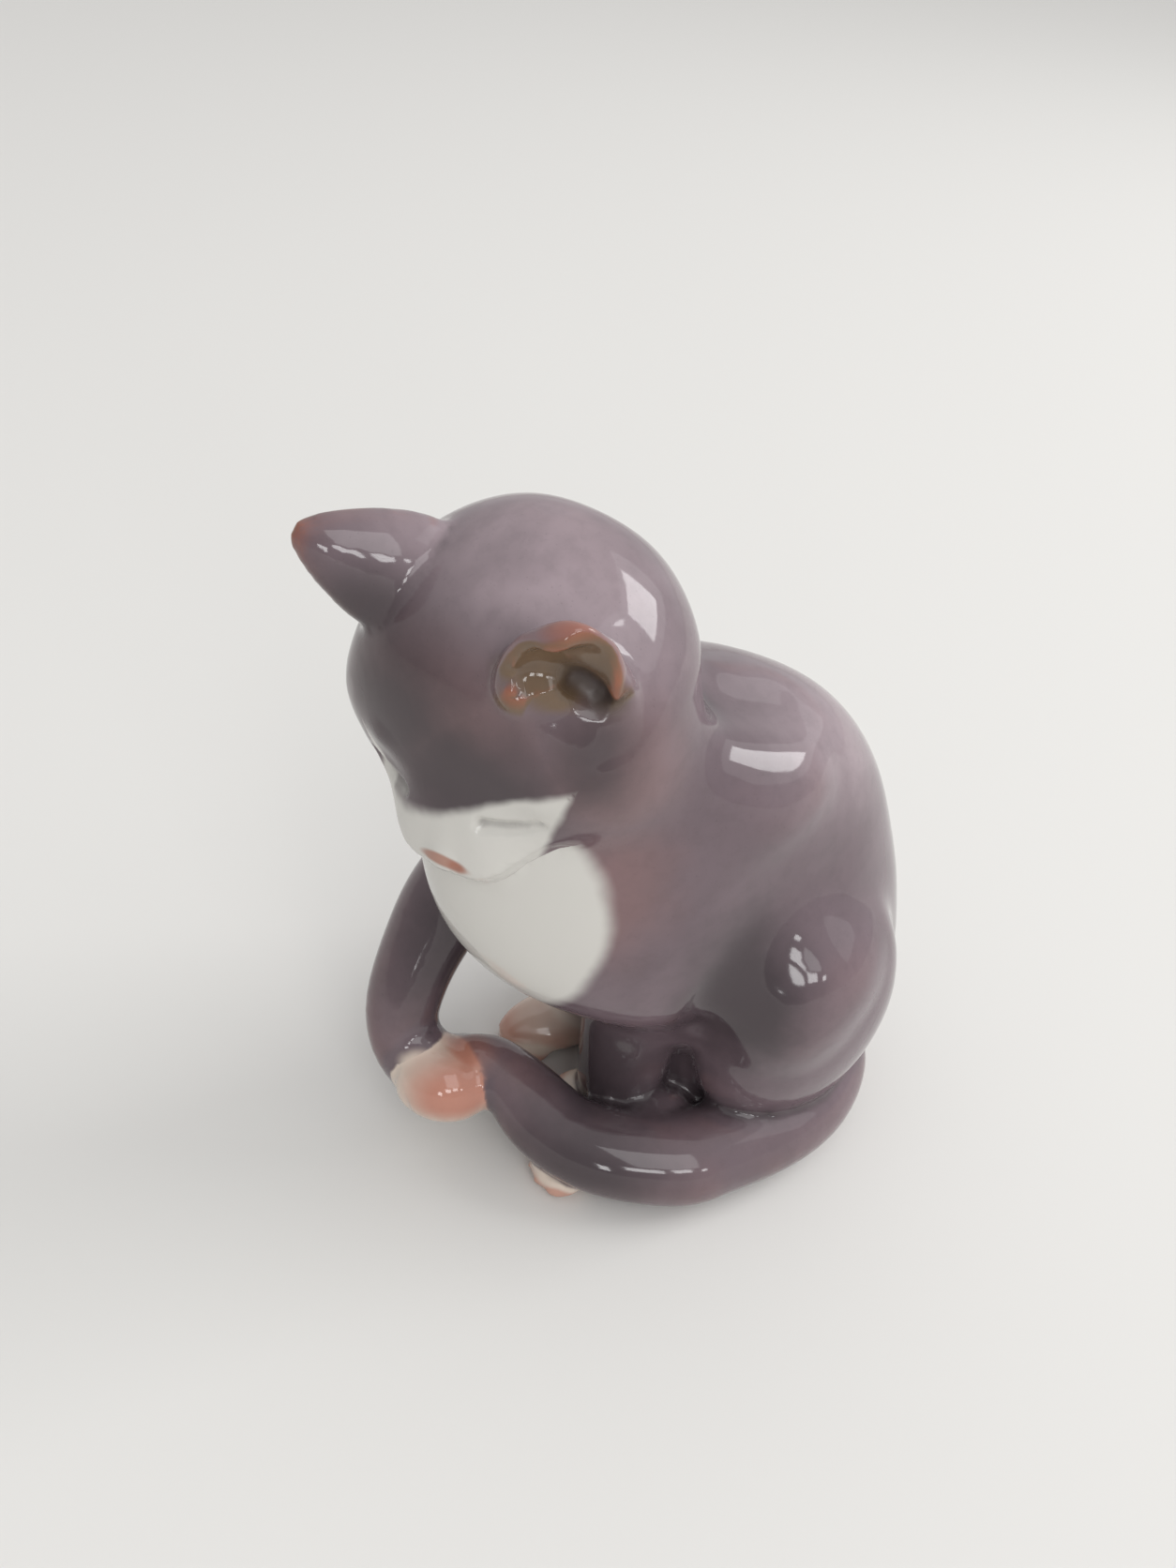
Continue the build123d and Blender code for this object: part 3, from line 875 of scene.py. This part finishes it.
class CAT_OT_glaze(bpy.types.Operator):
    """Glaze the skin"""

    bl_idname = "cat.glaze"
    bl_label = "Glaze"

    def execute(self, context):
        glaze = context.scene.cat_glaze
        skin = bpy.data.objects[SKIN]
        material = bpy.data.materials.new("glazed porcelain")
        material.use_nodes = True
        tree = material.node_tree
        shader = tree.nodes["Principled BSDF"]
        nodes = GlazeNodes(tree)

        result = grey_glaze(nodes, glaze)
        result = ear_glaze(nodes, glaze, result)
        result = white_glaze(nodes, glaze, result)
        result = paw_glaze(nodes, glaze, result)
        # Creases darken, partly for glaze pooled in them and partly as painted shade, and the tail's tip
        # is tinged pink.
        result = nodes.blend(nodes.run(nodes.edge, -0.12, -0.8, strength=0.38), result, glaze.deep_and_shade)
        result = nodes.blend(nodes.zones(TAIL_TIP, strength=0.35), result, glaze.pink)
        # Bare clay under the foot.
        split = tree.nodes.new("ShaderNodeSeparateXYZ")
        tree.links.new(nodes.place, split.inputs[0])
        bare = nodes.run(split.outputs["Z"], GLAZE_FROM * MM, BARE_TO * MM)
        result = nodes.blend(bare, result, glaze.bare)
        tree.links.new(result, shader.inputs["Base Color"])

        rough = nodes.maths("MULTIPLY_ADD", nodes.run(nodes.mottle, 0.3, 0.8), 0.03, glaze.gloss)
        rough = nodes.most(rough, nodes.times(bare, BARE_ROUGHNESS))
        rough = nodes.most(rough, nodes.zones(SCOOP_SHADE, strength=0.5))
        tree.links.new(rough, shader.inputs["Roughness"])
        bump = tree.nodes.new("ShaderNodeBump")
        bump.inputs["Strength"].default_value = 0.035
        bump.inputs["Distance"].default_value = 0.4 * MM
        tree.links.new(nodes.cloud(330, roughness=0.4), bump.inputs["Height"])
        tree.links.new(bump.outputs["Normal"], shader.inputs["Normal"])
        skin.data.materials.clear()
        skin.data.materials.append(material)
        pick_only(skin)
        bpy.ops.object.shade_smooth()
        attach(skin, "root")
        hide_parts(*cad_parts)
        return {"FINISHED"}


# --- Studio ---------------------------------------------------------------------------
AIM = Vector((0, -0.02, 0.06))
FLOOR_SIZE = 8

# Brightness of the room all round, and what it gains towards the back and overhead.
ROOM = 0.44
ROOM_BACK = 0.32
ROOM_UP = 0.30

# The camera's place in metres, its right, the way it looks, and its film and lens in mm.
CAMERA_PLACE = (0.1270, -0.1043, 0.194)
CAMERA_RIGHT = (0.4008, 0.9115, 0.0919)
CAMERA_FORWARD = (-0.6877, 0.3656, -0.6272)
FILM_HEIGHT = 36
LENS = 28

# Lamps: name, bearing from the front towards the cat's left and height angle in degrees,
# distance, width and height in metres, and how bright the lamp's face is.
LAMPS = [
    ("back wall", 165, 36, 3.6, 4.0, 2.2, 0.65),
    ("pane", 170, 38, 1.8, 0.84, 0.72, 6.0),
    ("side wall", 86, 42, 1.8, 0.80, 1.10, 2.1),
    ("side pane 1", 60, 9, 1.8, 0.16, 0.30, 9.0),
    ("side pane 2", 74, 18, 1.8, 0.30, 0.22, 8.0),
    ("side pane 3", 88, 20, 1.8, 0.30, 0.22, 8.0),
    ("side pane 4", 102, 17, 1.8, 0.12, 0.16, 9.0),
]


def way_to(bearing, rise):
    """Direction by its bearing from the front towards the cat's left and its height angle."""
    bearing = radians(bearing)
    rise = radians(rise)
    return Vector((sin(bearing) * cos(rise), -cos(bearing) * cos(rise), sin(rise)))


def lay_floor(colour):
    """Matt floor in one colour."""
    bpy.ops.object.select_all(action="DESELECT")
    bpy.ops.mesh.primitive_plane_add(size=FLOOR_SIZE)
    floor = bpy.context.active_object
    floor.name = "floor"
    material = bpy.data.materials.new("pale floor")
    material.use_nodes = True
    shader = material.node_tree.nodes["Principled BSDF"]
    shader.inputs["Base Color"].default_value = (*colour, 1)
    shader.inputs["Roughness"].default_value = 0.9
    shader.inputs["Specular IOR Level"].default_value = 0.1
    floor.data.materials.append(material)


def hang_lamp(name, towards, distance, width, height, brightness):
    """Lamp with a rectangular face, which looks at the cat."""
    data = bpy.data.lights.new(name, "AREA")
    data.shape = "RECTANGLE"
    data.size = width
    data.size_y = height
    data.energy = brightness * pi * width * height
    lamp = bpy.data.objects.new(name, data)
    bpy.context.scene.collection.objects.link(lamp)
    lamp.location = AIM + towards * distance
    lamp.rotation_euler = (-towards).to_track_quat("-Z", "Y").to_euler()


def light_room(strength):
    """White surrounding light, brighter towards the back and overhead."""
    world = bpy.data.worlds.new("room")
    world.use_nodes = True
    tree = world.node_tree
    split = tree.nodes.new("ShaderNodeSeparateXYZ")
    tree.links.new(tree.nodes.new("ShaderNodeTexCoord").outputs["Generated"], split.inputs[0])
    back = maths(tree, "MULTIPLY_ADD", between(tree, split.outputs["Y"], -0.7, 0.9), ROOM_BACK, ROOM)
    up = maths(tree, "MULTIPLY_ADD", between(tree, split.outputs["Z"], 0.2, 0.95), ROOM_UP, back)
    background = tree.nodes["Background"]
    tree.links.new(maths(tree, "MULTIPLY", up, strength), background.inputs["Strength"])
    background.inputs["Color"].default_value = (1, 1, 1, 1)
    bpy.context.scene.world = world


def place_camera():
    """Camera in front of the cat and to its left, looking down on it."""
    data = bpy.data.cameras.new("camera")
    data.sensor_fit = "VERTICAL"
    data.sensor_height = FILM_HEIGHT
    data.lens = LENS
    data.clip_start = 0.01
    camera = bpy.data.objects.new("camera", data)
    bpy.context.scene.collection.objects.link(camera)
    right = Vector(CAMERA_RIGHT).normalized()
    forward = Vector(CAMERA_FORWARD).normalized()
    up = right.cross(forward)
    turn = Matrix((right, up, -forward)).transposed().to_4x4()
    camera.matrix_world = Matrix.Translation(CAMERA_PLACE) @ turn
    bpy.context.scene.camera = camera


class CAT_OT_studio(bpy.types.Operator):
    """Set the floor, the lamps and the camera"""

    bl_idname = "cat.studio"
    bl_label = "Studio"

    def execute(self, context):
        studio = context.scene.cat_studio
        lay_floor(studio.floor)
        for name, bearing, rise, distance, width, height, brightness in LAMPS:
            hang_lamp(name, way_to(bearing, rise), distance, width, height, brightness * studio.light)
        light_room(studio.world)
        place_camera()
        context.scene.view_settings.view_transform = "Standard"
        return {"FINISHED"}


class CAT_PT_panel(bpy.types.Panel):
    """Settings and steps of the porcelain cat"""

    bl_label = "Porcelain cat"
    bl_idname = "CAT_PT_panel"
    bl_space_type = "VIEW_3D"
    bl_region_type = "UI"
    bl_category = "Cat"

    def draw(self, context):
        for group in (context.scene.cat_form, context.scene.cat_glaze, context.scene.cat_studio):
            box = self.layout.box()
            for name in group.bl_rna.properties.keys():
                if name not in ("rna_type", "name"):
                    box.prop(group, name)
        for step in STEPS:
            self.layout.operator(step.bl_idname)


STEPS = (
    CAT_OT_skin,
    CAT_OT_trunk,
    CAT_OT_face,
    CAT_OT_ears,
    CAT_OT_toes,
    CAT_OT_measure,
    CAT_OT_glaze,
    CAT_OT_studio,
)
CLASSES = (CatForm, CatGlaze, CatStudio, *STEPS, CAT_PT_panel)


def register():
    for item in CLASSES:
        bpy.utils.register_class(item)
    bpy.types.Scene.cat_form = bpy.props.PointerProperty(type=CatForm)
    bpy.types.Scene.cat_glaze = bpy.props.PointerProperty(type=CatGlaze)
    bpy.types.Scene.cat_studio = bpy.props.PointerProperty(type=CatStudio)


def unregister():
    del bpy.types.Scene.cat_studio
    del bpy.types.Scene.cat_glaze
    del bpy.types.Scene.cat_form
    for item in reversed(CLASSES):
        bpy.utils.unregister_class(item)


def main():
    register()
    bpy.ops.cat.skin()
    bpy.ops.cat.trunk()
    bpy.ops.cat.face()
    bpy.ops.cat.ears()
    bpy.ops.cat.toes()
    bpy.ops.cat.measure()
    bpy.ops.cat.glaze()
    bpy.ops.cat.studio()


if __name__ == "__main__":
    main()
